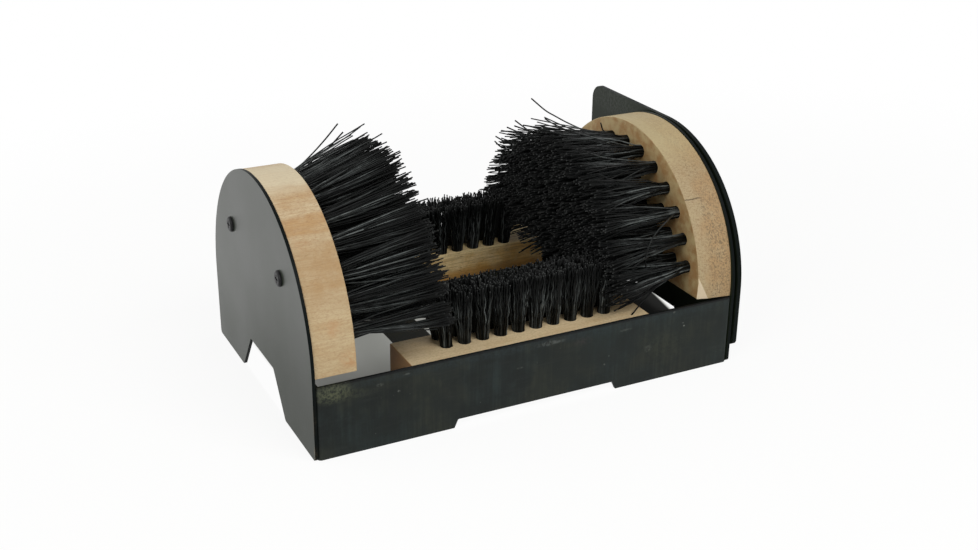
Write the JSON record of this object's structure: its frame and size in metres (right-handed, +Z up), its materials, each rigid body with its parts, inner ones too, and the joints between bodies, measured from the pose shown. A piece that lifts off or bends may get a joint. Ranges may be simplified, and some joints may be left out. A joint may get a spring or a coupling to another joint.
{
  "type": "boot scrubber",
  "caption": "Low steel tray with an arched end plate at each end, side and bottom brushes for a boot and a scraper plate on the right end.",
  "frame": {"origin": "on the floor under the middle of the whole object, scraper and screw heads included", "axes": "+X along the length, towards the scraper end; +Y to the rear, where the scraper's straight edge ends; +Z up"},
  "size_m": [0.303, 0.192, 0.1479],
  "materials": {
    "frame_paint": "semi-gloss black paint on sheet steel",
    "brush_wood": "sanded bare hardwood",
    "bristle_nylon": "stiff black nylon filament",
    "screw_black": "blackened steel",
    "anchor_wire": "flat steel wire"
  },
  "bodies": {
    "root": {"front_block_screws": "screw_black", "front_brush_anchors": "anchor_wire", "front_brush_block": "brush_wood", "front_brush_tufts_row_1": "bristle_nylon", "front_brush_tufts_row_2": "bristle_nylon", "front_wall": "frame_paint", "left_block_screws": "screw_black", "left_brush_anchors": "anchor_wire", "left_brush_block": "brush_wood", "left_brush_tufts_row_1": "bristle_nylon", "left_brush_tufts_row_2": "bristle_nylon", "left_brush_tufts_row_3": "bristle_nylon", "left_brush_tufts_row_4": "bristle_nylon", "left_brush_tufts_row_5": "bristle_nylon", "left_cross_strap": "frame_paint", "left_end_plate": "frame_paint", "rear_block_screws": "screw_black", "rear_brush_anchors": "anchor_wire", "rear_brush_block": "brush_wood", "rear_brush_tufts_row_1": "bristle_nylon", "rear_brush_tufts_row_2": "bristle_nylon", "rear_wall": "frame_paint", "right_block_screws": "screw_black", "right_brush_anchors": "anchor_wire", "right_brush_block": "brush_wood", "right_brush_tufts_row_1": "bristle_nylon", "right_brush_tufts_row_2": "bristle_nylon", "right_brush_tufts_row_3": "bristle_nylon", "right_brush_tufts_row_4": "bristle_nylon", "right_brush_tufts_row_5": "bristle_nylon", "right_cross_strap": "frame_paint", "right_end_plate": "frame_paint", "scraper_plate": "frame_paint", "scraper_spacers": "frame_paint"}
  },
  "joints": []
}
